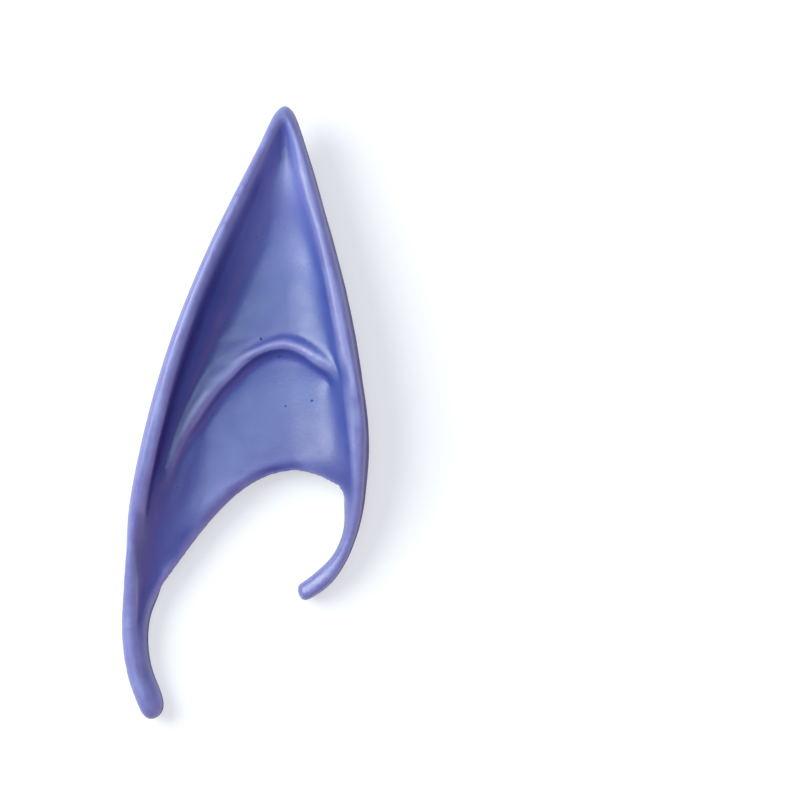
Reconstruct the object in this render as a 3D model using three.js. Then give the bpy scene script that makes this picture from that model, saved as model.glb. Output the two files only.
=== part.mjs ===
// A costume elf ear tip: one hollow latex shell that slips over the top of the wearer's ear.
// It lies on its back. +Y runs from the tail to the point, +Z up out of the bowl, +X from the helix rim
// towards the face. Millimetres.
//
// The shell is a strip bent round the ear opening. Each section of the strip is a plan line from the outer
// outline to the edge of the ear opening, and carries one C-shaped loop: front skin, rim, back skin, pocket.
import * as THREE from "three";

// Driving sizes.
const earLength = 124; // end of the tail to the point
const earWidth = 50; // helix rim to the front edge
const earDepth = 21; // back of the shell to the top of the helix rim
const wall = 1.25; // latex skin
const rimRoll = 4; // width of the rolled rim where it is widest
const rimSide = 6; // fall from the top of the rim to its widest line, on the front edge
const rimBlunt = 2.5; // power of that fall's curve, over 2 for a squarer rim
const foldRise = 1.5; // height of the arched fold over the shelf above it
const foldUpper = 2.2; // slope of the fold on the point's side
const foldLower = 2.6; // slope of the fold on the opening's side
const foldBrow = 1.1; // how far that slope stays nearly level before it falls
const browDrop = 0.12; // share of its fall that it makes there
const wallReach = 0.3; // share of a wall's width that its upper part takes
const lipRun = 2; // width of the lip that turns down to the ear opening
const lipDrop = 1.2; // how far that lip turns down
const backRun = 34; // length of the rounded heel behind the point
const backSetback = 4; // how far the back skin stops short of the front skin at the opening
const pocketRim = 3.4; // solid rim outside the pocket
const pocketRound = 1.6; // rounding of the pocket's inner end
const solidRound = 2.4; // rounding of the opening's edge on the solid tail
const tailFall = 1.5; // power of the tail's fall towards the opening, 1 for a straight one
const tailEndRun = 2.7; // rounding of the tail's end
const tailBlunt = 2; // power of the tail end's curve, 2 for a round end
const hookEndRun = 1.3; // rounding of the hook's end
const hookBlunt = 2.6; // power of the hook end's curve, over 2 for a squarer end

// Sections of the strip, from the tail round the point to the hook. outX, outY: outer outline. inX, inY:
// edge of the ear opening. Both are shares of earWidth and earLength from the lower left corner. steps: loops
// from this section up to the next.
const sections = [
  { place: "tail end", outX: 0.087, outY: -0.006, inX: 0.179, inY: 0.009, steps: 5 },
  { place: "tail bulb", outX: 0.06, outY: 0.028, inX: 0.155, inY: 0.044, steps: 3 },
  { place: "tail", outX: 0.02, outY: 0.073, inX: 0.115, inY: 0.086, steps: 2 },
  { place: "tail middle", outX: 0.0, outY: 0.125, inX: 0.101, inY: 0.127, steps: 2 },
  { place: "tail root", outX: 0.002, outY: 0.176, inX: 0.109, inY: 0.167, steps: 3 },
  { place: "rim's lower end", outX: 0.012, outY: 0.22, inX: 0.153, inY: 0.205, steps: 3 },
  { place: "rim notch", outX: 0.012, outY: 0.268, inX: 0.226, inY: 0.25, steps: 4 },
  { place: "helix foot", outX: 0.022, outY: 0.337, inX: 0.323, inY: 0.308, steps: 3 },
  { place: "helix low", outX: 0.048, outY: 0.4, inX: 0.411, inY: 0.348, steps: 3 },
  { place: "helix middle", outX: 0.093, outY: 0.48, inX: 0.475, inY: 0.371, steps: 3 },
  { place: "helix widest", outX: 0.161, outY: 0.579, inX: 0.53, inY: 0.386, steps: 4 },
  { place: "helix high", outX: 0.258, outY: 0.686, inX: 0.572, inY: 0.3945, steps: 4 },
  { place: "helix upper", outX: 0.371, outY: 0.79, inX: 0.604, inY: 0.3995, steps: 3 },
  { place: "under the point", outX: 0.48, outY: 0.878, inX: 0.629, inY: 0.402, steps: 3 },
  { place: "point, helix side", outX: 0.565, outY: 0.946, inX: 0.649, inY: 0.4035, steps: 3 },
  { place: "point shoulder", outX: 0.617, outY: 0.989, inX: 0.665, inY: 0.404, steps: 3 },
  { place: "point", outX: 0.655, outY: 1.0, inX: 0.68, inY: 0.4055, steps: 3 },
  { place: "front shoulder", outX: 0.691, outY: 0.989, inX: 0.695, inY: 0.4055, steps: 3 },
  { place: "point, front side", outX: 0.731, outY: 0.945, inX: 0.713, inY: 0.405, steps: 3 },
  { place: "front upper", outX: 0.781, outY: 0.878, inX: 0.735, inY: 0.4035, steps: 3 },
  { place: "front high", outX: 0.846, outY: 0.787, inX: 0.761, inY: 0.401, steps: 5 },
  { place: "front widest", outX: 0.913, outY: 0.68, inX: 0.793, inY: 0.3965, steps: 6 },
  { place: "front middle", outX: 0.965, outY: 0.563, inX: 0.83, inY: 0.3885, steps: 5 },
  { place: "front low", outX: 0.995, outY: 0.462, inX: 0.862, inY: 0.3785, steps: 4 },
  { place: "hook root", outX: 0.986, outY: 0.389, inX: 0.8835, inY: 0.3605, steps: 3 },
  { place: "hook neck", outX: 0.97, outY: 0.338, inX: 0.8935, inY: 0.337, steps: 3 },
  { place: "hook bend", outX: 0.942, outY: 0.294, inX: 0.886, inY: 0.3025, steps: 3 },
  { place: "hook low", outX: 0.893, outY: 0.249, inX: 0.846, inY: 0.2675, steps: 3 },
  { place: "hook under", outX: 0.827, outY: 0.215, inX: 0.792, inY: 0.245, steps: 2 },
  { place: "hook tip", outX: 0.762, outY: 0.197, inX: 0.734, inY: 0.226, steps: 4 },
  { place: "hook end", outX: 0.722, outY: 0.189, inX: 0.695, inY: 0.218, steps: 0 },
];

// The rolled rim. at: number of the section. height, foot: its top and its inner foot over the surface the
// ear lies on, shares of earDepth. top, inner: how far in from the outline these two lie, shares of rimRoll.
// side: fall from the top to the widest line, share of rimSide. fall: share of the drop from the rim to the
// valley that the wall makes in its upper part.
const rims = [
  { at: 0, height: 0.3, foot: 0.285, top: 0.46, inner: 0.54, side: 0.3, fall: 0.6 },
  { at: 2, height: 0.32, foot: 0.3, top: 0.52, inner: 0.6, side: 0.36, fall: 0.6 },
  { at: 4, height: 0.38, foot: 0.35, top: 0.46, inner: 0.62, side: 0.42, fall: 0.6 },
  { at: 5, height: 0.45, foot: 0.42, top: 0.34, inner: 0.56, side: 0.42, fall: 0.6 },
  { at: 6, height: 0.56, foot: 0.525, top: 0.28, inner: 0.5, side: 0.44, fall: 0.6 },
  { at: 6.6, height: 0.63, foot: 0.6, top: 0.36, inner: 0.76, side: 0.46, fall: 0.6 },
  { at: 7, height: 0.68, foot: 0.64, top: 0.4, inner: 0.86, side: 0.48, fall: 0.6 },
  { at: 9, height: 0.86, foot: 0.815, top: 0.4, inner: 0.88, side: 0.5, fall: 0.6 },
  { at: 11, height: 1.0, foot: 0.945, top: 0.38, inner: 0.8, side: 0.5, fall: 0.6 },
  { at: 12, height: 0.985, foot: 0.92, top: 0.36, inner: 0.76, side: 0.5, fall: 0.6 },
  { at: 13, height: 0.92, foot: 0.85, top: 0.36, inner: 0.74, side: 0.5, fall: 0.6 },
  { at: 14, height: 0.8, foot: 0.735, top: 0.36, inner: 0.72, side: 0.5, fall: 0.56 },
  { at: 15, height: 0.715, foot: 0.65, top: 0.42, inner: 0.7, side: 0.5, fall: 0.5 },
  { at: 16, height: 0.675, foot: 0.61, top: 0.5, inner: 0.76, side: 0.55, fall: 0.34 },
  { at: 17, height: 0.675, foot: 0.63, top: 0.46, inner: 0.72, side: 0.6, fall: 0.27 },
  { at: 18, height: 0.69, foot: 0.65, top: 0.44, inner: 0.72, side: 0.65, fall: 0.25 },
  { at: 20, height: 0.735, foot: 0.685, top: 0.44, inner: 0.95, side: 0.85, fall: 0.36 },
  { at: 21, height: 0.765, foot: 0.695, top: 0.45, inner: 1.1, side: 0.95, fall: 0.45 },
  { at: 22, height: 0.765, foot: 0.685, top: 0.45, inner: 1.12, side: 1.0, fall: 0.5 },
  { at: 23, height: 0.71, foot: 0.64, top: 0.46, inner: 1.05, side: 0.95, fall: 0.6 },
  { at: 24, height: 0.62, foot: 0.58, top: 0.42, inner: 0.8, side: 0.8, fall: 0.6 },
  { at: 25, height: 0.52, foot: 0.505, top: 0.38, inner: 0.52, side: 0.6, fall: 0.6 },
  { at: 27, height: 0.38, foot: 0.37, top: 0.33, inner: 0.46, side: 0.48, fall: 0.6 },
  { at: 30, height: 0.29, foot: 0.28, top: 0.33, inner: 0.46, side: 0.4, fall: 0.6 },
];

// Line along the bottom of the helix wall, from the tail past the point into the hook. x, y: shares of
// earWidth and earLength. height: share of earDepth.
const valley = [
  { x: 0.148, y: -0.01, height: 0.27 },
  { x: 0.112, y: 0.0368, height: 0.275 },
  { x: 0.072, y: 0.08, height: 0.28 },
  { x: 0.0586, y: 0.126, height: 0.285 },
  { x: 0.07, y: 0.171, height: 0.31 },
  { x: 0.088, y: 0.213, height: 0.35 },
  { x: 0.101, y: 0.262, height: 0.395 },
  { x: 0.12, y: 0.316, height: 0.435 },
  { x: 0.146, y: 0.367, height: 0.463 },
  { x: 0.174, y: 0.412, height: 0.472 },
  { x: 0.206, y: 0.455, height: 0.474 },
  { x: 0.238, y: 0.489, height: 0.468 },
  { x: 0.278, y: 0.524, height: 0.459 },
  { x: 0.334, y: 0.569, height: 0.45 },
  { x: 0.381, y: 0.61, height: 0.448 },
  { x: 0.44, y: 0.66, height: 0.447 },
  { x: 0.516, y: 0.716, height: 0.45 },
  { x: 0.592, y: 0.763, height: 0.455 },
  { x: 0.655, y: 0.785, height: 0.465 },
  { x: 0.71, y: 0.784, height: 0.505 },
  { x: 0.765, y: 0.758, height: 0.56 },
  { x: 0.808, y: 0.704, height: 0.615 },
  { x: 0.843, y: 0.64, height: 0.65 },
  { x: 0.869, y: 0.585, height: 0.665 },
  { x: 0.889, y: 0.54, height: 0.67 },
  { x: 0.902, y: 0.5, height: 0.66 },
  { x: 0.91, y: 0.455, height: 0.635 },
  { x: 0.919, y: 0.408, height: 0.595 },
  { x: 0.931, y: 0.372, height: 0.545 },
  { x: 0.922, y: 0.335, height: 0.485 },
  { x: 0.903, y: 0.299, height: 0.43 },
  { x: 0.857, y: 0.26, height: 0.36 },
  { x: 0.799, y: 0.233, height: 0.31 },
  { x: 0.743, y: 0.217, height: 0.28 },
  { x: 0.68, y: 0.205, height: 0.27 },
];

// Crest of the arched fold, from the tail over the bowl into the hook, placed in the same shares. rise: share
// of foldRise. shelf, bowl: the skin beside it on the point's side and on the opening's, shares of earDepth.
// apart: 1 where the fold stands apart, 0 where it has run into the rim or died away. lower: width of the
// slope on the opening's side, share of foldLower.
const fold = [
  { x: 0.163, y: -0.008, rise: 0, shelf: 0.265, bowl: 0.255, apart: 0, lower: 1 },
  { x: 0.128, y: 0.04, rise: 0, shelf: 0.265, bowl: 0.258, apart: 0, lower: 1 },
  { x: 0.088, y: 0.082, rise: 0, shelf: 0.265, bowl: 0.26, apart: 0, lower: 1 },
  { x: 0.075, y: 0.127, rise: 0, shelf: 0.275, bowl: 0.266, apart: 0, lower: 1 },
  { x: 0.088, y: 0.17, rise: 0, shelf: 0.3, bowl: 0.285, apart: 0, lower: 1.2 },
  { x: 0.11, y: 0.213, rise: 0, shelf: 0.34, bowl: 0.32, apart: 0, lower: 1.6 },
  { x: 0.126, y: 0.262, rise: 0, shelf: 0.385, bowl: 0.34, apart: 0.3, lower: 2 },
  { x: 0.146, y: 0.316, rise: 0, shelf: 0.425, bowl: 0.352, apart: 0.7, lower: 2.1 },
  { x: 0.172, y: 0.367, rise: 0.08, shelf: 0.462, bowl: 0.36, apart: 0.9, lower: 1.9 },
  { x: 0.203, y: 0.412, rise: 0.12, shelf: 0.473, bowl: 0.362, apart: 1, lower: 1.8 },
  { x: 0.236, y: 0.455, rise: 0.16, shelf: 0.475, bowl: 0.362, apart: 1, lower: 1.6 },
  { x: 0.266, y: 0.48, rise: 0.22, shelf: 0.47, bowl: 0.362, apart: 1, lower: 1.5 },
  { x: 0.312, y: 0.509, rise: 0.34, shelf: 0.462, bowl: 0.364, apart: 1, lower: 1.4 },
  { x: 0.367, y: 0.537, rise: 0.52, shelf: 0.455, bowl: 0.366, apart: 1, lower: 1.25 },
  { x: 0.423, y: 0.561, rise: 0.72, shelf: 0.449, bowl: 0.37, apart: 1, lower: 1.15 },
  { x: 0.5, y: 0.588, rise: 0.92, shelf: 0.444, bowl: 0.376, apart: 1, lower: 1 },
  { x: 0.578, y: 0.606, rise: 1, shelf: 0.445, bowl: 0.384, apart: 1, lower: 1 },
  { x: 0.655, y: 0.612, rise: 1, shelf: 0.455, bowl: 0.395, apart: 1, lower: 1 },
  { x: 0.718, y: 0.605, rise: 0.95, shelf: 0.48, bowl: 0.415, apart: 1, lower: 1 },
  { x: 0.768, y: 0.592, rise: 0.8, shelf: 0.52, bowl: 0.435, apart: 1, lower: 1 },
  { x: 0.815, y: 0.574, rise: 0.5, shelf: 0.573, bowl: 0.465, apart: 0.95, lower: 1 },
  { x: 0.851, y: 0.554, rise: 0.24, shelf: 0.622, bowl: 0.505, apart: 0.75, lower: 0.9 },
  { x: 0.879, y: 0.532, rise: 0.08, shelf: 0.65, bowl: 0.545, apart: 0.35, lower: 0.8 },
  { x: 0.893, y: 0.51, rise: 0, shelf: 0.655, bowl: 0.575, apart: 0, lower: 0.7 },
  { x: 0.899, y: 0.483, rise: 0, shelf: 0.645, bowl: 0.585, apart: 0, lower: 0.6 },
  { x: 0.899, y: 0.452, rise: 0, shelf: 0.623, bowl: 0.58, apart: 0, lower: 0.6 },
  { x: 0.903, y: 0.408, rise: 0, shelf: 0.58, bowl: 0.55, apart: 0, lower: 0.6 },
  { x: 0.916, y: 0.368, rise: 0, shelf: 0.53, bowl: 0.51, apart: 0, lower: 0.6 },
  { x: 0.912, y: 0.334, rise: 0, shelf: 0.475, bowl: 0.46, apart: 0, lower: 0.6 },
  { x: 0.895, y: 0.3, rise: 0, shelf: 0.42, bowl: 0.405, apart: 0, lower: 0.6 },
  { x: 0.85, y: 0.262, rise: 0, shelf: 0.35, bowl: 0.335, apart: 0, lower: 0.6 },
  { x: 0.794, y: 0.236, rise: 0, shelf: 0.3, bowl: 0.285, apart: 0, lower: 0.6 },
  { x: 0.739, y: 0.22, rise: 0, shelf: 0.27, bowl: 0.255, apart: 0, lower: 0.6 },
  { x: 0.677, y: 0.208, rise: 0, shelf: 0.26, bowl: 0.245, apart: 0, lower: 0.6 },
];

// The edge of the ear opening. height: front skin before it turns down, share of earDepth. drop: share of
// lipDrop. round: share of solidRound. open: 1 where the pocket is open, 0 where the edge is solid.
// carved: 1 where the front carries the valley and the fold, 0 where it is one rounded strip.
const lips = [
  { at: 0, height: 0.295, drop: 0.2, round: 1, open: 0, carved: 0 },
  { at: 2, height: 0.315, drop: 0.2, round: 1, open: 0, carved: 0 },
  { at: 3, height: 0.33, drop: 0.3, round: 0.95, open: 0, carved: 0 },
  { at: 4, height: 0.325, drop: 0.6, round: 0.8, open: 0, carved: 0.35 },
  { at: 5, height: 0.32, drop: 0.9, round: 0.6, open: 0.1, carved: 0.85 },
  { at: 6, height: 0.35, drop: 1, round: 0.5, open: 0.5, carved: 1 },
  { at: 7, height: 0.38, drop: 1, round: 0.5, open: 0.9, carved: 1 },
  { at: 9, height: 0.4, drop: 1, round: 0.5, open: 1, carved: 1 },
  { at: 12, height: 0.405, drop: 1, round: 0.5, open: 1, carved: 1 },
  { at: 16, height: 0.415, drop: 1, round: 0.5, open: 1, carved: 1 },
  { at: 20, height: 0.45, drop: 1, round: 0.5, open: 1, carved: 1 },
  { at: 22, height: 0.5, drop: 1, round: 0.5, open: 0.95, carved: 1 },
  { at: 23, height: 0.515, drop: 0.9, round: 0.5, open: 0.6, carved: 0.9 },
  { at: 24, height: 0.495, drop: 0.7, round: 0.5, open: 0.2, carved: 0.4 },
  { at: 25, height: 0.455, drop: 0.5, round: 0.5, open: 0, carved: 0 },
  { at: 27, height: 0.345, drop: 0.4, round: 0.55, open: 0, carved: 0 },
  { at: 30, height: 0.26, drop: 0.3, round: 0.55, open: 0, carved: 0 },
];

// The back skin. run: length of the curve from the widest line to the flat of the back, share of backRun.
// height: the back over the surface it lies on, share of earDepth. setback: share of backSetback.
// pocket: share of pocketRim.
const backs = [
  { at: 0, run: 0.06, height: 0.07, setback: 0.02, pocket: 0.95 },
  { at: 1, run: 0.06, height: 0.06, setback: 0.02, pocket: 0.9 },
  { at: 2, run: 0.065, height: 0.05, setback: 0.03, pocket: 0.8 },
  { at: 4, run: 0.075, height: 0.035, setback: 0.1, pocket: 0.7 },
  { at: 5, run: 0.1, height: 0.02, setback: 0.25, pocket: 0.8 },
  { at: 6, run: 0.15, height: 0.01, setback: 0.5, pocket: 1.3 },
  { at: 8, run: 0.27, height: 0.0, setback: 0.9, pocket: 1.45 },
  { at: 10, run: 0.38, height: 0.0, setback: 1, pocket: 1.25 },
  { at: 12, run: 0.54, height: 0.0, setback: 1, pocket: 1.05 },
  { at: 14, run: 0.85, height: 0.0, setback: 1, pocket: 1 },
  { at: 16, run: 1.0, height: 0.0, setback: 1, pocket: 1 },
  { at: 18, run: 0.75, height: 0.0, setback: 1, pocket: 1 },
  { at: 20, run: 0.46, height: 0.0, setback: 1, pocket: 1 },
  { at: 22, run: 0.25, height: 0.0, setback: 0.7, pocket: 0.85 },
  { at: 23, run: 0.17, height: 0.01, setback: 0.4, pocket: 0.75 },
  { at: 24, run: 0.1, height: 0.03, setback: 0.15, pocket: 0.6 },
  { at: 25, run: 0.075, height: 0.045, setback: 0.04, pocket: 0.6 },
  { at: 26, run: 0.06, height: 0.05, setback: 0.02, pocket: 0.6 },
  { at: 30, run: 0.05, height: 0.07, setback: 0.02, pocket: 0.65 },
];

// Where a section is narrow its stretches give way to each other, as shares of the way between two places.
const giveWay = {
  rimTop: 0.5, // outline to edge, at most
  rimFoot: 0.62, // outline to edge, at most
  rimFootToValley: 0.8, // rim's top to valley, at most
  shelf: 0.4, // valley to fold, at least
  bowl: 0.55, // fold to lip, at most
  lip: 0.4, // edge to fold, at most
  pocket: 0.7, // outline to edge, at most
  shallowest: 0.1, // edge to outline, at least
};
// Where the fold has died away its places lie at these shares of the way from the valley to the bowl.
const foldGone = { shelf: 0.3, fold: 0.6, brow: 0.8 };
const edgeRoundMost = 0.45; // share of a section that its rounded edge may take
const leastSlant = 0.3; // a line that crosses a section flatter than this counts as this
const uprightMost = 2.4; // most that a sloping skin's upright height is over its thickness
const leastGap = 0.3; // height of the pocket where its two faces would meet

// Stretches of the front skin from the outline inwards. to: the place where one ends. steps: its loop points.
const stretches = [
  { to: "rimTop", steps: 4 },
  { to: "rimFoot", steps: 3 },
  { to: "wall", steps: 2 },
  { to: "valley", steps: 3 },
  { to: "shelf", steps: 3 },
  { to: "fold", steps: 3 },
  { to: "brow", steps: 1 },
  { to: "bowl", steps: 3 },
  { to: "lip", steps: 3 },
  { to: "edge", steps: 3 },
];
const frontCount = stretches.reduce((sum, { steps }) => sum + steps, 1);
const backSteps = 8;
const pocketSteps = 7;
const edgeSteps = 3;
const endGap = 0.012; // how far short of the end sections the first and last loops lie, in sections
const curveSteps = 16; // points on each stretch of a plan curve
const probeSteps = 80; // places tried along a section
const probeStep = 0.02; // half the distance over which a slope is measured, in sections and shares

const lastSection = sections.length - 1;
const ease = (x) => 1 - Math.cos((x * Math.PI) / 2);
const mix = (a, b, share) => a + (b - a) * share;
// A quarter turn from 1 at x = 0 down to 0 at x = 1, round for power 2 and squarer above.
const blunt = (x, power) => (1 - x ** power) ** (1 / power);

// A smooth curve through knots [place, value] that never overshoots them, read at x.
function curveAt(knots, x) {
  const last = knots.length - 1;
  if (x <= knots[0][0]) return knots[0][1];
  if (x >= knots[last][0]) return knots[last][1];
  let i = 0;
  while (x > knots[i + 1][0]) i += 1;
  const rise = (k) => (knots[k + 1][1] - knots[k][1]) / (knots[k + 1][0] - knots[k][0]);
  const slope = (k) => {
    if (k === 0 || k === last) return 0;
    const before = rise(k - 1);
    const after = rise(k);
    if (before * after <= 0) return 0;
    const wBefore = 2 * (knots[k + 1][0] - knots[k][0]) + (knots[k][0] - knots[k - 1][0]);
    const wAfter = knots[k + 1][0] - knots[k][0] + 2 * (knots[k][0] - knots[k - 1][0]);
    return (wBefore + wAfter) / (wBefore / before + wAfter / after);
  };
  const span = knots[i + 1][0] - knots[i][0];
  const t = (x - knots[i][0]) / span;
  const start = (1 + 2 * t) * (1 - t) ** 2 * knots[i][1] + t * (1 - t) ** 2 * span * slope(i);
  const end = t * t * (3 - 2 * t) * knots[i + 1][1] + t * t * (t - 1) * span * slope(i + 1);
  return start + end;
}

// Plan curves. plan: sampled points. reach: length of the curve up to each of them.
function planCurve(rows, x, y) {
  const places = rows.map((row) => new THREE.Vector3(row[x] * earWidth, row[y] * earLength, 0));
  const curve = new THREE.CatmullRomCurve3(places);
  const plan = curve.getPoints((rows.length - 1) * curveSteps);
  const reach = [0];
  plan.slice(1).forEach((point, i) => reach.push(reach[i] + point.distanceTo(plan[i])));
  return { curve, plan, reach };
}

const outline = planCurve(sections, "outX", "outY");
const opening = planCurve(sections, "inX", "inY");
const valleyLine = planCurve(valley, "x", "y");
const foldLine = planCurve(fold, "x", "y");
const pointOn = (line, station) => line.curve.getPoint(station / lastSection);

function reachAt({ reach }, place) {
  const sample = Math.min(Math.max(place * curveSteps, 0), reach.length - 1);
  const below = Math.min(Math.floor(sample), reach.length - 2);
  return mix(reach[below], reach[below + 1], sample - below);
}

// A column of a table at a place on the line its rows lie along. Rows without "at" lie one place apart.
function read(table, column, line, place) {
  const knots = table.map((row, i) => [reachAt(line, row.at ?? i), row[column]]);
  return curveAt(knots, reachAt(line, place));
}

// Distance in plan from a point to the outer outline.
function outlineDistance(point) {
  let nearest = Infinity;
  const edge = new THREE.Line3();
  const foot = new THREE.Vector3();
  for (let i = 0; i + 1 < outline.plan.length; i += 1) {
    edge.set(outline.plan[i], outline.plan[i + 1]);
    edge.closestPointToPoint(point, true, foot);
    nearest = Math.min(nearest, foot.distanceTo(point));
  }
  return nearest;
}

// Share of the way along a section where it is a given distance in from the outline.
function insetShare(from, to, inset, most) {
  const point = new THREE.Vector3();
  let before = 0;
  for (let i = 1; i <= probeSteps; i += 1) {
    const distance = outlineDistance(point.lerpVectors(from, to, (most * i) / probeSteps));
    if (distance >= inset) return (most * (i - 1 + (inset - before) / (distance - before))) / probeSteps;
    before = distance;
  }
  return most;
}

// How squarely two directions cross: 1 at a right angle.
const slantOf = (a, b) => Math.max(a.clone().normalize().cross(b.clone().normalize()).length(), leastSlant);

// Where a section crosses a line: the share of the way along the section, the slant, and the place on the
// line.
function crossing(from, to, { plan }) {
  const way = to.clone().sub(from);
  const aside = (point) => way.x * (point.y - from.y) - way.y * (point.x - from.x);
  for (let i = 0; i + 1 < plan.length; i += 1) {
    const before = aside(plan[i]);
    const after = aside(plan[i + 1]);
    if (before * after > 0 || before === after) continue;
    const step = before / (before - after);
    const share = plan[i].clone().lerp(plan[i + 1], step).sub(from).dot(way) / way.lengthSq();
    const slant = slantOf(way, plan[i + 1].clone().sub(plan[i]));
    if (share > 0 && share < 1) return { share, slant, place: (i + step) / curveSteps };
  }
  throw new Error("a section misses a line that it must cross");
}

// Everything about one section: where its stretches begin, and its heights.
const known = new Map();
function sectionAt(station) {
  if (known.has(station)) return known.get(station);
  const from = pointOn(outline, station);
  const to = pointOn(opening, station);
  const length = from.distanceTo(to);
  const inMm = (size) => size / length;
  const rim = (column) => read(rims, column, outline, station);
  const back = (column) => read(backs, column, outline, station);
  const lip = (column) => read(lips, column, opening, station);
  const valleyCross = crossing(from, to, valleyLine);
  const foldCross = crossing(from, to, foldLine);
  const beside = (column) => read(fold, column, foldLine, foldCross.place);
  const rimTop = insetShare(from, to, rim("top") * rimRoll, giveWay.rimTop);
  const rimFoot = Math.min(
    insetShare(from, to, rim("inner") * rimRoll, giveWay.rimFoot),
    mix(rimTop, valleyCross.share, giveWay.rimFootToValley),
  );
  const edgeRound = Math.min(lip("round") * solidRound, length * edgeRoundMost);
  const lipSlant = slantOf(to.clone().sub(from), opening.curve.getTangent(station / lastSection));
  const lipAt = 1 - Math.min(inMm(lipRun / lipSlant), giveWay.lip * (1 - foldCross.share));
  const rimHeight = rim("height") * earDepth;
  const footHeight = rim("foot") * earDepth;
  const valleyHeight = read(valley, "height", valleyLine, valleyCross.place) * earDepth;
  const shelf = beside("shelf") * earDepth;
  const bowl = beside("bowl") * earDepth;
  const lipHeight = lip("height") * earDepth;
  const drop = lip("drop") * lipDrop;
  const shelfAt = Math.max(
    foldCross.share - inMm(foldUpper / foldCross.slant),
    mix(valleyCross.share, foldCross.share, giveWay.shelf),
  );
  const bowlAt = Math.min(
    foldCross.share + inMm((beside("lower") * foldLower) / foldCross.slant),
    mix(foldCross.share, lipAt, giveWay.bowl),
  );
  const foldHeight = shelf + beside("rise") * foldRise;
  const browRun = Math.min(inMm(foldBrow / foldCross.slant), (bowlAt - foldCross.share) / 2);
  const browAt = foldCross.share + browRun;
  const apart = beside("apart");
  const fromValley = (share, place, height) => [
    mix(mix(valleyCross.share, bowlAt, share), place, apart),
    mix(mix(valleyHeight, bowl, share), height, apart),
  ];
  const carved = [
    ["rimFoot", rimFoot, footHeight],
    ["wall", mix(rimFoot, valleyCross.share, wallReach), mix(footHeight, valleyHeight, rim("fall"))],
    ["valley", valleyCross.share, valleyHeight],
    ["shelf", ...fromValley(foldGone.shelf, shelfAt, shelf)],
    ["fold", ...fromValley(foldGone.fold, foldCross.share, foldHeight)],
    ["brow", ...fromValley(foldGone.brow, browAt, mix(foldHeight, bowl, browDrop))],
    ["bowl", bowlAt, bowl],
  ];
  const places = { rimTop, lip: lipAt, edge: 1 };
  const knots = [[rimTop, rimHeight]];
  carved.forEach(([name, place, height], i) => {
    const even = (i + 1) / (carved.length + 1);
    places[name] = mix(mix(rimTop, lipAt, even), place, lip("carved"));
    knots.push([places[name], mix(mix(rimHeight, lipHeight, even ** tailFall), height, lip("carved"))]);
  });
  knots.push([lipAt, lipHeight], [1, lipHeight - drop], [1 + inMm(wall), lipHeight - 2 * drop]);
  const plain = knots.filter(([place]) => place !== places.fold && place !== places.brow);
  const made = {
    from,
    to,
    length,
    rim: rimHeight,
    places,
    withFold: knots,
    plain,
    side: rimHeight - rim("side") * rimSide,
    backHeight: back("height") * earDepth,
    backRun: back("run") * backRun,
    backEnd: 1 - inMm(Math.max(back("setback") * backSetback, edgeRound * (1 - lip("open")))),
    edgeRound,
    pocketStart: insetShare(from, to, back("pocket") * pocketRim, giveWay.pocket),
    open: lip("open"),
  };
  known.set(station, made);
  return made;
}

// Heights of the skins' outer faces at a share of the way along a section.
function frontHeight(section, share, knots) {
  const { rimTop } = section.places;
  if (share >= rimTop) return curveAt(knots, share);
  return mix(section.side, section.rim, blunt(1 - share / rimTop, rimBlunt));
}

function backHeight(section, share) {
  const curve = Math.min((share * section.length) / section.backRun, 1);
  return mix(section.side, section.backHeight, blunt(1 - curve, 2));
}

const frontPlain = (section, share) => frontHeight(section, share, section.plain);

// How much taller a skin is, measured upright, than it is through, because it slopes.
function uprightness(height, station, share) {
  const point = (at, along) => {
    const section = sectionAt(Math.min(Math.max(at, 0), lastSection));
    const plan = new THREE.Vector3().lerpVectors(section.from, section.to, along);
    return plan.setZ(height(section, along));
  };
  const acrossRun = point(station + probeStep, share).sub(point(station - probeStep, share));
  const alongRun = point(station, share + probeStep).sub(point(station, share - probeStep));
  const normal = acrossRun.cross(alongRun).normalize();
  return 1 / Math.max(Math.abs(normal.z), 1 / uprightMost);
}

const spaced = (from, to, steps) => Array.from({ length: steps }, (_, i) => mix(from, to, (i + 1) / steps));

// Shares along the front skin where loop points go, from the outline to the lip's edge.
function frontShares({ places }) {
  const roll = spaced(0, 1, stretches[0].steps).map((x) => places.rimTop * ease(x));
  const rest = stretches
    .slice(1)
    .flatMap(({ to, steps }, i) => spaced(places[stretches[i].to], places[to], steps));
  return [0, ...roll, ...rest];
}

// The rounded edge between two faces of a skin, as points [share, height] strictly between its ends.
function roundedEdge(section, [share, start], [endShare, end], steps) {
  const radius = Math.min(Math.abs(start - end) / 2, section.edgeRound);
  return spaced(0, Math.PI, steps + 1)
    .slice(0, steps)
    .map((turn) => [
      mix(share, endShare, (1 - Math.cos(turn)) / 2) + (radius * Math.sin(turn)) / section.length,
      mix(start, end, (1 - Math.cos(turn)) / 2),
    ]);
}

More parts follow.
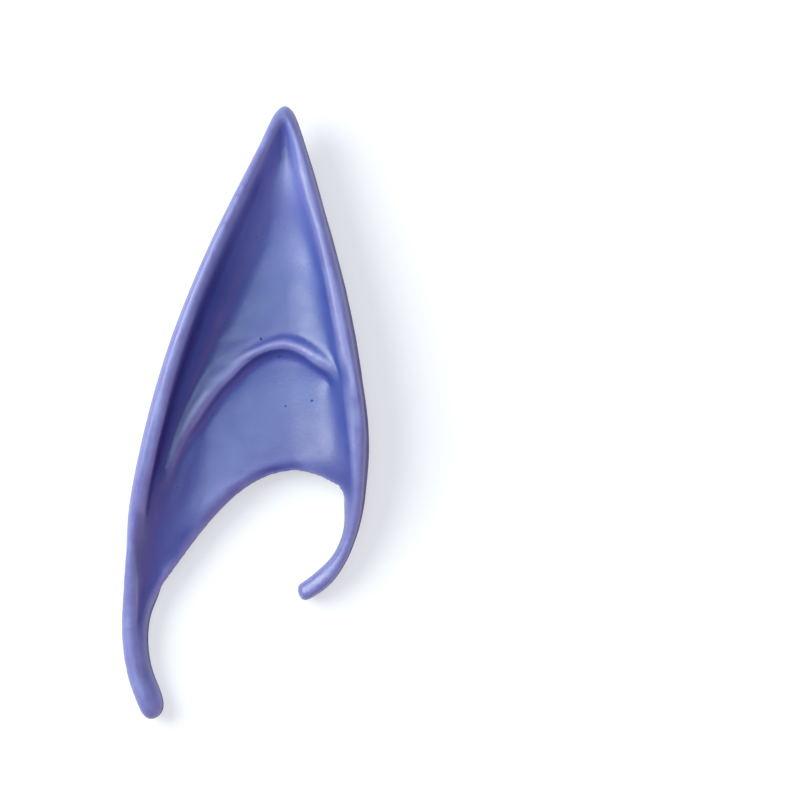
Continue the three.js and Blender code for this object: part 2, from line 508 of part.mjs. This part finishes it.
// The pocket, from the back skin's edge inwards and back out to the front skin's edge.
function pocketPoints(station, section, backEdge, frontEdge) {
  const face = (skin, share, side) =>
    skin(section, share) + side * wall * uprightness(skin, station, share);
  const start = Math.min(section.pocketStart, Math.min(backEdge[0], frontEdge[0]) - giveWay.shallowest);
  const inner = (end, side) =>
    spaced(0, 1, pocketSteps).map((x) => {
      const share = mix(start, end, ease(x));
      const top = face(frontPlain, share, -1);
      const bottom = face(backHeight, share, 1);
      const inward = Math.min(((share - start) * section.length) / pocketRound, 1);
      const gap = Math.max(top - bottom, leastGap) * Math.sqrt(1 - (1 - inward) ** 2);
      return [share, (top + bottom) / 2 + (side * gap) / 2];
    });
  const floor = inner(backEdge[0], -1);
  const ceiling = inner(frontEdge[0], 1);
  return [
    ...roundedEdge(section, backEdge, floor.at(-1), edgeSteps),
    ...floor.reverse(),
    [start, (ceiling[0][1] + floor.at(-1)[1]) / 2],
    ...ceiling,
    ...roundedEdge(section, frontEdge, ceiling.at(-1), edgeSteps).reverse(),
  ];
}

// One C-shaped loop. Where the edge is solid its pocket points lie on the rounded edge instead.
function loopAt(station) {
  const section = sectionAt(station);
  const frontEnd = 1 - mix(section.edgeRound, wall / 2, section.open) / section.length;
  const front = frontShares(section)
    .map((share) => share * frontEnd)
    .map((share) => [share, frontHeight(section, share, section.withFold)]);
  const back = spaced(0, 1, backSteps).map((x) => {
    const share = section.backEnd * ease(x);
    return [share, backHeight(section, share)];
  });
  const pocket = pocketPoints(station, section, back.at(-1), front.at(-1));
  const solid = roundedEdge(section, back.at(-1), front.at(-1), pocket.length);
  const edge = pocket.map(([share, height], i) => [
    mix(solid[i][0], share, section.open),
    mix(solid[i][1], height, section.open),
  ]);
  return roundedEnd(station, section, [...front.reverse(), ...back, ...edge]);
}

// Places a loop in space, drawn in towards its middle where the tail or the hook ends.
function roundedEnd(station, section, loop) {
  const middle = (at) => pointOn(outline, at).add(pointOn(opening, at)).multiplyScalar(0.5);
  const reach = (end, run, power) => {
    const distance = Math.min(middle(station).distanceTo(middle(end)) / run, 1);
    return blunt(1 - distance, power);
  };
  const size = Math.min(reach(0, tailEndRun, tailBlunt), reach(lastSection, hookEndRun, hookBlunt));
  const heightsHere = loop.map(([, height]) => height);
  const centre = middle(station).setZ((Math.max(...heightsHere) + Math.min(...heightsHere)) / 2);
  return loop.map(([share, height]) => {
    const point = new THREE.Vector3().lerpVectors(section.from, section.to, share).setZ(height);
    return centre.clone().lerp(point, size);
  });
}

// Section numbers of the loops, closer together at the two rounded ends.
function loopStations() {
  const stations = [endGap];
  sections.slice(0, -1).forEach(({ steps }, i) => {
    spaced(0, 1, steps).forEach((x) => {
      if (i === 0) stations.push(x * x);
      else if (i === lastSection - 1) stations.push(lastSection - (1 - x) ** 2);
      else stations.push(i + x);
    });
  });
  stations[stations.length - 1] = lastSection - endGap;
  return stations;
}

// Skins the loops into one closed surface, with a flat cap on each end loop.
function skin(loops) {
  const count = loops[0].length;
  const index = [];
  for (let ring = 0; ring + 1 < loops.length; ring += 1) {
    for (let i = 0; i < count; i += 1) {
      const a = ring * count + i;
      const b = ring * count + ((i + 1) % count);
      index.push(a, b + count, b, a, a + count, b + count);
    }
  }
  const cap = (ring, start, flip) => {
    const across = ring[0].clone().sub(ring[frontCount - 1]).setZ(0).normalize();
    const flat = ring.map((p) => new THREE.Vector2(p.dot(across), p.z));
    THREE.ShapeUtils.triangulateShape(flat, []).forEach(([a, b, c]) => {
      index.push(...(flip ? [start + a, start + c, start + b] : [start + a, start + b, start + c]));
    });
  };
  cap(loops[0], 0, false);
  cap(loops.at(-1), (loops.length - 1) * count, true);
  const geometry = new THREE.BufferGeometry().setFromPoints(loops.flat());
  geometry.setIndex(index);
  return geometry;
}

const latex = new THREE.MeshStandardMaterial({ color: 0x6f7bc4, roughness: 0.45, metalness: 0 });

function earShell() {
  const geometry = skin(loopStations().map(loopAt));
  geometry.computeBoundingBox();
  const { min, max } = geometry.boundingBox;
  geometry.translate(-(min.x + max.x) / 2, -(min.y + max.y) / 2, -min.z);
  geometry.computeVertexNormals();
  const shell = new THREE.Mesh(geometry, latex);
  shell.name = "ear_shell";
  return shell;
}

const elfEarTip = new THREE.Group();
elfEarTip.add(earShell());

export default elfEarTip;
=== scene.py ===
import math

import bpy
import numpy as np
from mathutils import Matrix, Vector


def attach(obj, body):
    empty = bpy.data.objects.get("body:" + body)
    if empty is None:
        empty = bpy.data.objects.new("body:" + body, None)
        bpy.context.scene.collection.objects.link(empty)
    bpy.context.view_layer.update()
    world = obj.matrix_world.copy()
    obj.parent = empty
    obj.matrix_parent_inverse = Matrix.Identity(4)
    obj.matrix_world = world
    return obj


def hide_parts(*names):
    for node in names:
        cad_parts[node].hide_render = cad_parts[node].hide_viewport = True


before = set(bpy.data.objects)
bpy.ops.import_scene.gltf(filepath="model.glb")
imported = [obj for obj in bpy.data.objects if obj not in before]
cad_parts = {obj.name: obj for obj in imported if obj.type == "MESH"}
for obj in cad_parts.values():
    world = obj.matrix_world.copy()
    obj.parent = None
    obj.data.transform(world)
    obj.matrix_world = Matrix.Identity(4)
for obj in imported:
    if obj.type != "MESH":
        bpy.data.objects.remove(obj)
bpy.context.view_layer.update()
millimetre = 0.001
print("frame loaded")


# sRGB hex to the linear colour that a shader socket takes.
def fromHex(code):
    parts = [int(code[i:i + 2], 16) / 255 for i in (1, 3, 5)]
    return [c / 12.92 if c <= 0.04045 else ((c + 0.055) / 1.055) ** 2.4 for c in parts] + [1.0]


# Camera straight above, over the middle of the picture, so the ear tip lies in its left half.
camera = {
    "lens": 600,  # mm, a long one, because the rims stand up to 12 mm nearer than the bowl
    "sensor": 36,  # mm
    "pictureWidth": 161.3,  # mm, at the height of the bowl
    "over": (31.05, 2.5),  # mm
    "bowlHeight": 9,  # mm
    "nearest": 10,  # mm, nothing nearer to the lens is drawn
}


def addCamera():
    distance = camera["pictureWidth"] * camera["lens"] / camera["sensor"]
    x, y = camera["over"]
    place = Vector((x, y, camera["bowlHeight"] + distance)) * millimetre
    bpy.ops.object.camera_add(location=place, rotation=(0, 0, 0))
    eye = bpy.context.object
    eye.data.lens = camera["lens"]
    eye.data.sensor_width = camera["sensor"]
    eye.data.clip_start = camera["nearest"] * millimetre
    bpy.context.scene.camera = eye


addCamera()
print("camera placed")

# The shell as it is moulded: the CAD shape with a fine, soft surface.
skin = {
    "mergeGap": 0.002,  # mm
    "quadAngle": 60,  # degrees, most that two triangles of one quad may differ
    "levels": 2,
    "grid": 0.44,  # mm, even size of the fine mesh's faces
    "softening": 4,  # rounds of smoothing over it
    "waveLength": 14,  # mm, of the slight unevenness of a poured skin
    "waveHeight": 0.25,  # mm
}


def copyShell(name):
    bpy.ops.object.select_all(action="DESELECT")
    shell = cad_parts["ear_shell"]
    copy = bpy.data.objects.new(name, shell.data.copy())
    bpy.context.collection.objects.link(copy)
    copy.select_set(True)
    bpy.context.view_layer.objects.active = copy
    return copy


def mergeShell():
    bpy.ops.object.mode_set(mode="EDIT")
    bpy.ops.mesh.select_all(action="SELECT")
    bpy.ops.mesh.remove_doubles(threshold=skin["mergeGap"] * millimetre)
    angle = math.radians(skin["quadAngle"])
    bpy.ops.mesh.tris_convert_to_quads(face_threshold=angle, shape_threshold=angle)
    bpy.ops.object.mode_set(mode="OBJECT")


def refineShell(piece):
    surface = piece.modifiers.new("fineSkin", "SUBSURF")
    surface.levels = skin["levels"]
    surface.render_levels = skin["levels"]
    bpy.ops.object.modifier_apply(modifier="fineSkin")
    even = piece.modifiers.new("evenSkin", "REMESH")
    even.mode = "VOXEL"
    even.voxel_size = skin["grid"] * millimetre
    bpy.ops.object.modifier_apply(modifier="evenSkin")
    bpy.ops.object.mode_set(mode="EDIT")
    bpy.ops.mesh.select_all(action="SELECT")
    bpy.ops.mesh.vertices_smooth(factor=0.5, repeat=skin["softening"])
    bpy.ops.object.mode_set(mode="OBJECT")
    bpy.ops.object.shade_smooth()


def addWaves(piece):
    clouds = bpy.data.textures.new("pouredSkin", "CLOUDS")
    clouds.noise_scale = skin["waveLength"] * millimetre
    waves = piece.modifiers.new("waves", "DISPLACE")
    waves.texture = clouds
    waves.texture_coords = "LOCAL"
    waves.mid_level = 0.5
    waves.strength = skin["waveHeight"] * millimetre
    bpy.ops.object.modifier_apply(modifier="waves")


earSkin = copyShell("ear_skin")
mergeShell()
refineShell(earSkin)
addWaves(earSkin)
print("ear skin:", len(earSkin.data.polygons), "faces")

# Places that the sculptor pulled along in the clay. at: mm, seen from above. by: mm. reach: mm.
pulls = {
    "pointValley": {"at": (6.8, 43.5), "by": (-1.8, 0.0), "reach": 3.6},
    "foldEnd": {"at": (16.6, 6.2), "by": (0.9, 0.8), "reach": 3.6},
    "bowlSide": {"at": (16.8, -1.5), "by": (1.2, 0.2), "reach": 3.2},
    "bowlFoot": {"at": (17.0, -6.5), "by": (0.9, 0.0), "reach": 2.8},
}

# Valleys that the thumb ran into one soft slope. line: places in mm. width: mm, from the middle of
# a valley to where the skin stays as it is.
blends = {
    "point": {"line": [(7.9, 47.0), (8.2, 38.0), (8.6, 30.0)], "width": 2.8},
    "wallFoot": {"line": [(5.6, 45.5), (2.7, 39.7), (-2.8, 27.6), (-5.4, 20.5)], "width": 2.8},
    "foldTail": {"line": [(-16.6, -14.5), (-17.1, -17.0), (-17.4, -20.0)], "width": 2.2},
    "floorStep": {"line": [(-10.4, -8.5), (-11.8, -13.5), (-13.6, -19.5), (-16.0, -25.5)],
                  "width": 3.0},
    "bowlSide": {"line": [(18.2, 0.0), (18.4, -4.0), (18.4, -8.0), (18.0, -11.5)], "width": 3.4},
    "rimKnee": {"line": [(-20.6, -22.0), (-20.4, -27.0), (-20.6, -32.0)], "width": 1.8},
}
blendRounds = 90
frontLowest = 4.5  # mm, the front skin lies above this and the pocket's floor below

# What the hand-sculpted original left in the mould, seen from above. line: places in mm. width: mm,
# from the middle of a mark to where it has nearly gone. height: mm that it stands out, below 0 for a
# groove or a dip.
marks = {
    "foldLeg": {"line": [(-6.2, 5.4), (-7.6, 3.6), (-9.7, 0.5), (-12.1, -3.5), (-13.6, -7.6),
                         (-15.0, -11.6), (-16.2, -16.5)],
                "width": 1.1, "height": 0.25},
    "foldLegSide": {"line": [(3.0, 13.6), (-0.9, 12.0), (-4.6, 9.2), (-7.7, 5.9), (-9.9, 2.9),
                             (-12.1, -1.0), (-14.1, -5.6), (-15.6, -10.5), (-16.6, -15.0)],
                    "width": 1.1, "height": 0.25},
    "foldLegFoot": {"line": [(-1.6, 6.6), (-4.2, 4.2), (-7.0, 0.5), (-9.7, -3.5), (-11.9, -7.6),
                             (-14.1, -11.6), (-15.6, -16.0), (-17.0, -20.0)],
                    "width": 1.2, "height": -0.26},
    "bowlDip": {"line": [(1.0, 15.0), (3.5, 0.0), (6.0, -17.0)], "width": 7.5, "height": -0.6},
    "crescentFall": {"line": [(-16.6, -32.4), (-12.8, -26.4), (-8.8, -22.0), (-4.6, -18.2),
                              (0.2, -15.4)],
                     "width": 1.8, "height": -0.3},
    "foldFoot": {"line": [(-2.0, 6.2), (2.0, 9.2), (5.2, 10.6), (8.2, 10.9), (11.4, 10.4),
                          (14.8, 8.2), (17.6, 5.4), (19.6, 2.6)],
                 "width": 1.0, "height": -0.13},
    "rimShoulder": {"line": [(9.6, 54.0), (10.9, 48.9), (12.5, 42.8), (14.2, 37.8), (15.6, 32.8),
                             (16.7, 27.7), (17.6, 22.7), (18.4, 17.6), (19.2, 12.6), (19.9, 7.6),
                             (20.5, 2.5), (21.1, -2.5), (21.7, -7.6), (22.0, -13.0), (22.0, -18.0)],
                    "width": 1.0, "height": 0.45},
    "foldEndCrease": {"line": [(13.2, 11.2), (14.8, 10.2), (16.6, 8.9)],
                      "width": 0.5, "height": -0.09},
    "doubledRim": {"line": [(-16.7, 9.0), (-17.5, 3.5), (-18.4, -1.7), (-19.1, -5.5), (-19.8, -9.2),
                            (-20.6, -12.2), (-21.3, -15.0), (-21.8, -19.1)],
                   "width": 0.5, "height": -0.13},
    "tailRidge": {"line": [(-23.6, -26.0), (-23.4, -33.0), (-23.6, -40.4), (-23.5, -45.0),
                           (-23.0, -49.5), (-22.1, -53.9), (-20.6, -58.0), (-18.4, -64.0)],
                  "width": 1.5, "height": 1.0},
}
markFade = 0.15  # share of a mark's line over which it comes up and dies away


def readVertices(mesh, kind):
    values = np.empty(len(mesh.vertices) * 3)
    mesh.vertices.foreach_get(kind, values)
    return values.reshape(-1, 3)


def followLine(plan, line):
    nearest = np.full(len(plan), np.inf)
    reached = np.zeros(len(plan))
    for part, (start, end) in enumerate(zip(line, line[1:])):
        way = np.subtract(end, start)
        along = np.clip((plan - start) @ way / (way @ way), 0, 1)
        away = np.linalg.norm(plan - start - along[:, None] * way, axis=1)
        closer = away < nearest
        nearest[closer] = away[closer]
        reached[closer] = (part + along[closer]) / (len(line) - 1)
    return nearest, reached


def readLinks(mesh):
    ends = np.empty(len(mesh.edges) * 2, dtype=np.int32)
    mesh.edges.foreach_get("vertices", ends)
    return ends


def neighbourMean(places, ends):
    first, second = ends.reshape(-1, 2).T
    total = np.zeros_like(places)
    for axis in range(3):
        total[:, axis] = np.bincount(first, places[second, axis], len(places))
        total[:, axis] += np.bincount(second, places[first, axis], len(places))
    return total / np.bincount(ends, minlength=len(places))[:, None]


# 1 on skin that faces up, less on steep walls, 0 below and inside the pocket.
def frontShare(places, normals):
    return np.clip(normals[:, 2] * 2, 0, 1) * (places[:, 2] > frontLowest)


def pullPlaces(piece):
    mesh = piece.data
    places = readVertices(mesh, "co") / millimetre
    share = frontShare(places, readVertices(mesh, "normal"))
    for pull in pulls.values():
        away = np.linalg.norm(places[:, :2] - pull["at"], axis=1)
        grip = share * np.exp(-((away / pull["reach"]) ** 2))
        places[:, :2] += grip[:, None] * pull["by"]
    mesh.vertices.foreach_set("co", (places * millimetre).ravel())
    mesh.update()


def blendValleys(piece):
    mesh = piece.data
    places = readVertices(mesh, "co") / millimetre
    share = np.zeros(len(places))
    for blend in blends.values():
        away = followLine(places[:, :2], blend["line"])[0]
        share = np.maximum(share, np.exp(-((away / blend["width"]) ** 2)))
    share *= frontShare(places, readVertices(mesh, "normal"))
    ends = readLinks(mesh)
    for _ in range(blendRounds):
        places += (neighbourMean(places, ends) - places) * share[:, None]
    mesh.vertices.foreach_set("co", (places * millimetre).ravel())
    mesh.update()


def pressMarks(piece):
    mesh = piece.data
    places = readVertices(mesh, "co") / millimetre
    normals = readVertices(mesh, "normal")
    swell = np.zeros(len(places))
    for mark in marks.values():
        away, reached = followLine(places[:, :2], mark["line"])
        fading = np.clip(np.minimum(reached, 1 - reached) / markFade, 0, 1)
        swell += mark["height"] * fading * np.exp(-((away / mark["width"]) ** 2))
    places += normals * (swell * frontShare(places, normals))[:, None]
    mesh.vertices.foreach_set("co", (places * millimetre).ravel())
    mesh.update()


pullPlaces(earSkin)
blendValleys(earSkin)
print("valleys blended:", len(blends))
pressMarks(earSkin)
print("marks pressed:", len(marks))

# How hollow or crested the skin is, kept on the mesh for the material to read; the material paints
# shade into the hollows and a highlight onto the crests from it.
relief = {"rounds": 16, "range": 0.2}  # smoothing rounds, and mm that count as fully hollow or crested


def storeRelief(piece):
    mesh = piece.data
    places = readVertices(mesh, "co")
    normals = readVertices(mesh, "normal")
    ends = readLinks(mesh)
    smooth = places
    for _ in range(relief["rounds"]):
        smooth = neighbourMean(smooth, ends)
    hollow = ((smooth - places) * normals).sum(axis=1) / (relief["range"] * millimetre)
    layer = mesh.attributes.new("hollow", "FLOAT", "POINT")
    layer.data.foreach_set("value", np.clip(hollow * 0.5 + 0.5, 0, 1).astype(np.float32))


storeRelief(earSkin)
print("relief stored")


def addNode(tree, kind, values=None, links=None, **settings):
    node = tree.nodes.new(kind)
    for name, value in settings.items():
        setattr(node, name, value)
    for name, value in (values or {}).items():
        node.inputs[name].default_value = value
    for name, source in (links or {}).items():
        tree.links.new(source, node.inputs[name])
    return node


# Natural rubber latex, slush moulded and coloured through: a soft satin skin that light enters a
# little. Lengths are in mm.
latex = {
    "base": "#4E6AB2",
    "mottleSize": 18,
    "violet": "#4A4E9A",  # more of it towards the bottom of the ear
    "violetFrom": 50,
    "violetTo": -30,
    "tipLight": "#767EC6",  # painted light: the skin is drawn lighter towards the point
    "tipLightFrom": 24,
    "tipLightTo": 44,
    "level": 0.5,  # relief of flat skin, more in a hollow and less on a crest
    # painted shade: the colour that hollows and creases are darkened towards
    "hollow": "#3E449E",
    "deepest": 1.35,  # relief that would take the hollow's colour in full
    # painted highlight: the colour that crests are lightened towards
    "crest": "#7C7ABC",
    "rubbedHighlight": "#848AC6",  # painted highlight on crests, paler still in worn patches
    "wearSize": 4,
    "wornFrom": 0.35,
    "wornTo": 0.7,
    "glossFrom": 0.3,
    "glossTo": 0.7,
    "glossiest": 0.35,
    "dullest": 0.47,
    "glow": 0.12,
    "glowReach": (1.0, 0.6, 0.9),  # of red, green and blue light, times the depth
    "glowDepth": 0.8,
    "ior": 1.52,
}

# Painted shade: skin turned away from the main light, from the front and the left, is darker and
# reflects less.
sideShade = {
    "mainLightFrom": (-0.6, 0.1, 0.8),
    "shadedUpTo": -0.4,
    "litFrom": -0.1,
    "shadedSide": "#443C86",
    "shadedPolish": 0.05,
    "litPolish": 0.9,
}

# Grain of the plaster mould, drawn coarser than the real one so that it shows, and a pit where an air
# bubble sat in the mould, darkened with painted shade. Lengths are in mm.
grain = {"size": 0.6, "depth": 0.05, "strength": 0.5}
pits = {
    "spacing": 4.5,
    "rareFrom": 0.5,  # only a cell whose own random value is above this gets a pit
    "rareTo": 0.52,
    "floor": 0.01,  # share of the spacing from a pit's middle to where it is deepest
    "brim": 0.06,  # and to its edge
    "shade": 0.4,
    "depth": 0.3,
    "strength": 0.8,
}


# Colour of the skin by height, relief and wear, with painted light towards the point, painted shade in
# the hollows and a painted highlight on the crests.
def colourSkin(tree, place, wear):
    mottle = addNode(
        tree, "ShaderNodeTexNoise",
        {"Scale": 1 / (latex["mottleSize"] * millimetre), "Detail": 3}, {"Vector": place},
    ).outputs["Fac"]
    patchy = addNode(
        tree, "ShaderNodeMath", {1: 0.5}, {0: mottle}, operation="SUBTRACT",
    ).outputs["Value"]
    height = addNode(tree, "ShaderNodeSeparateXYZ", links={"Vector": place}).outputs["Y"]
    lowerShare = addNode(
        tree, "ShaderNodeMapRange",
        {"From Min": latex["violetFrom"] * millimetre, "From Max": latex["violetTo"] * millimetre},
        {"Value": height},
    ).outputs["Result"]
    tint = addNode(
        tree, "ShaderNodeMath", None, {0: lowerShare, 1: patchy}, operation="ADD", use_clamp=True,
    ).outputs["Value"]
    body = addNode(
        tree, "ShaderNodeMix",
        {"A": fromHex(latex["base"]), "B": fromHex(latex["violet"])}, {"Factor": tint},
        data_type="RGBA",
    ).outputs["Result"]
    # painted light: the skin turns lighter towards the point
    tipLightShare = addNode(
        tree, "ShaderNodeMapRange",
        {"From Min": latex["tipLightFrom"] * millimetre, "From Max": latex["tipLightTo"] * millimetre},
        {"Value": height},
    ).outputs["Result"]
    tipLit = addNode(
        tree, "ShaderNodeMix",
        {"B": fromHex(latex["tipLight"])}, {"Factor": tipLightShare, "A": body},
        data_type="RGBA",
    ).outputs["Result"]
    hollow = addNode(tree, "ShaderNodeAttribute", attribute_name="hollow").outputs["Fac"]
    # painted shade: hollows and creases darkened towards the hollow colour
    shadeShare = addNode(
        tree, "ShaderNodeMapRange",
        {"From Min": latex["level"], "From Max": latex["deepest"]}, {"Value": hollow},
    ).outputs["Result"]
    hollowShaded = addNode(
        tree, "ShaderNodeMix",
        {"B": fromHex(latex["hollow"])}, {"Factor": shadeShare, "A": tipLit},
        data_type="RGBA",
    ).outputs["Result"]
    worn = addNode(
        tree, "ShaderNodeMapRange",
        {"From Min": latex["wornFrom"], "From Max": latex["wornTo"]}, {"Value": wear},
    ).outputs["Result"]
    crest = addNode(
        tree, "ShaderNodeMix",
        {"A": fromHex(latex["crest"]), "B": fromHex(latex["rubbedHighlight"])}, {"Factor": worn},
        data_type="RGBA",
    ).outputs["Result"]
    # painted highlight: crests lightened towards the crest colour, paler in worn patches
    highlightShare = addNode(
        tree, "ShaderNodeMapRange",
        {"From Min": latex["level"], "From Max": 0.0}, {"Value": hollow},
    ).outputs["Result"]
    return addNode(
        tree, "ShaderNodeMix", None, {"Factor": highlightShare, "A": hollowShaded, "B": crest}, data_type="RGBA",
    ).outputs["Result"]


# 1 in a pit, 0 on the skin around it.
def findPits(tree, place):
    cells = addNode(
        tree, "ShaderNodeTexVoronoi",
        {"Scale": 1 / (pits["spacing"] * millimetre)}, {"Vector": place},
    ).outputs
    luck = addNode(
        tree, "ShaderNodeSeparateColor", links={"Color": cells["Color"]},
    ).outputs["Red"]
    chosen = addNode(
        tree, "ShaderNodeMapRange",
        {"From Min": pits["rareFrom"], "From Max": pits["rareTo"]}, {"Value": luck},
    ).outputs["Result"]
    near = addNode(
        tree, "ShaderNodeMapRange",
        {"From Min": pits["floor"], "From Max": pits["brim"], "To Min": 1.0, "To Max": 0.0},
        {"Value": cells["Distance"]},
    ).outputs["Result"]
    return addNode(
        tree, "ShaderNodeMath", None, {0: chosen, 1: near}, operation="MULTIPLY",
    ).outputs["Value"]


def mouldedLatex():
    material = bpy.data.materials.new("mouldedLatex")
    material.use_nodes = True
    tree = material.node_tree
    tree.nodes.clear()
    place = addNode(tree, "ShaderNodeTexCoord").outputs["Object"]
    wear = addNode(
        tree, "ShaderNodeTexNoise",
        {"Scale": 1 / (latex["wearSize"] * millimetre), "Detail": 4}, {"Vector": place},
    ).outputs["Fac"]
    gloss = addNode(
        tree, "ShaderNodeMapRange",
        {"From Min": latex["glossFrom"], "From Max": latex["glossTo"],
         "To Min": latex["glossiest"], "To Max": latex["dullest"]},
        {"Value": wear},
    ).outputs["Result"]
    facing = addNode(tree, "ShaderNodeNewGeometry").outputs["Normal"]
    # painted shade: how far the skin faces the main light
    towardLight = addNode(
        tree, "ShaderNodeVectorMath", {1: sideShade["mainLightFrom"]}, {0: facing},
        operation="DOT_PRODUCT",
    ).outputs["Value"]
    litShare = addNode(
        tree, "ShaderNodeMapRange",
        {"From Min": sideShade["shadedUpTo"], "From Max": sideShade["litFrom"]}, {"Value": towardLight},
    ).outputs["Result"]
    polish = addNode(
        tree, "ShaderNodeMapRange",
        {"From Min": sideShade["shadedUpTo"], "From Max": sideShade["litFrom"],
         "To Min": sideShade["shadedPolish"], "To Max": sideShade["litPolish"]},
        {"Value": towardLight},
    ).outputs["Result"]
    # painted shade: skin turned away from the main light takes the darker shaded-side colour
    sideShaded = addNode(
        tree, "ShaderNodeMix",
        {"A": fromHex(sideShade["shadedSide"])}, {"Factor": litShare, "B": colourSkin(tree, place, wear)},
        data_type="RGBA",
    ).outputs["Result"]
    pit = findPits(tree, place)
    # painted shade in the pit
    shade = addNode(
        tree, "ShaderNodeMath", {1: pits["shade"]}, {0: pit}, operation="MULTIPLY",
    ).outputs["Value"]
    pitShaded = addNode(
        tree, "ShaderNodeMix",
        {"B": fromHex(latex["hollow"])}, {"Factor": shade, "A": sideShaded},
        data_type="RGBA",
    ).outputs["Result"]
    plaster = addNode(
        tree, "ShaderNodeTexNoise",
        {"Scale": 1 / (grain["size"] * millimetre), "Detail": 2}, {"Vector": place},
    ).outputs["Fac"]
    skinBump = addNode(
        tree, "ShaderNodeBump",
        {"Strength": grain["strength"], "Distance": grain["depth"] * millimetre},
        {"Height": plaster},
    ).outputs["Normal"]
    sinking = addNode(
        tree, "ShaderNodeMath", {1: -1.0}, {0: pit}, operation="MULTIPLY",
    ).outputs["Value"]
    pitBump = addNode(
        tree, "ShaderNodeBump",
        {"Strength": pits["strength"], "Distance": pits["depth"] * millimetre},
        {"Height": sinking, "Normal": skinBump},
    ).outputs["Normal"]
    shader = addNode(
        tree, "ShaderNodeBsdfPrincipled",
        {"IOR": latex["ior"], "Subsurface Weight": latex["glow"],
         "Subsurface Radius": latex["glowReach"],
         "Subsurface Scale": latex["glowDepth"] * millimetre},
        {"Base Color": pitShaded, "Specular IOR Level": polish, "Roughness": gloss, "Normal": pitBump},
    ).outputs["BSDF"]
    addNode(tree, "ShaderNodeOutputMaterial", links={"Surface": shader})
    return material


earSkin.data.materials.clear()
earSkin.data.materials.append(mouldedLatex())
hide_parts("ear_shell")
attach(earSkin, "root")
print("latex on")

# White light table and soft lights: the main one from the upper left, a pink bounce from the lower
# right. Places and sizes are in mm, powers in watts.
studio = {
    "floorSize": 4000,
    "floor": "#C4C4C4",
    "floorRoughness": 0.9,
    "floorGlow": 0.54,
    "key": {"place": (-500, 180, 570), "size": 600, "power": 6.2, "colour": "#F6FFFA"},
    "top": {"place": (60, 120, 900), "size": 500, "power": 2.0, "colour": "#D8F4FF"},
    "bounce": {"place": (460, -380, 200), "size": 400, "power": 0.4, "colour": "#FF98B0"},
    "sky": "#E4E0FF",
    "skyLight": 0.24,
}


def addFloor():
    bpy.ops.mesh.primitive_plane_add(size=studio["floorSize"] * millimetre)
    floor = bpy.context.object
    floor.name = "floor"
    sheet = bpy.data.materials.new("whiteTable")
    sheet.use_nodes = True
    shader = sheet.node_tree.nodes["Principled BSDF"]
    shader.inputs["Base Color"].default_value = fromHex(studio["floor"])
    shader.inputs["Roughness"].default_value = studio["floorRoughness"]
    shader.inputs["Emission Color"].default_value = fromHex("#FFFFFF")
    shader.inputs["Emission Strength"].default_value = studio["floorGlow"]
    floor.data.materials.append(sheet)


def addLight(name):
    lamp = studio[name]
    place = Vector(lamp["place"]) * millimetre
    bpy.ops.object.light_add(type="AREA", location=place)
    light = bpy.context.object
    light.name = name
    light.data.shape = "DISK"
    light.data.size = lamp["size"] * millimetre
    light.data.energy = lamp["power"]
    light.data.color = fromHex(lamp["colour"])[:3]
    light.rotation_euler = (-place).to_track_quat("-Z", "Y").to_euler()


def addSky():
    world = bpy.data.worlds.new("sky")
    world.use_nodes = True
    background = world.node_tree.nodes["Background"]
    background.inputs["Color"].default_value = fromHex(studio["sky"])
    background.inputs["Strength"].default_value = studio["skyLight"]
    bpy.context.scene.world = world


addFloor()
for lampName in ("key", "top", "bounce"):
    addLight(lampName)
addSky()
bpy.context.scene.view_settings.view_transform = "Standard"
print("studio lit")
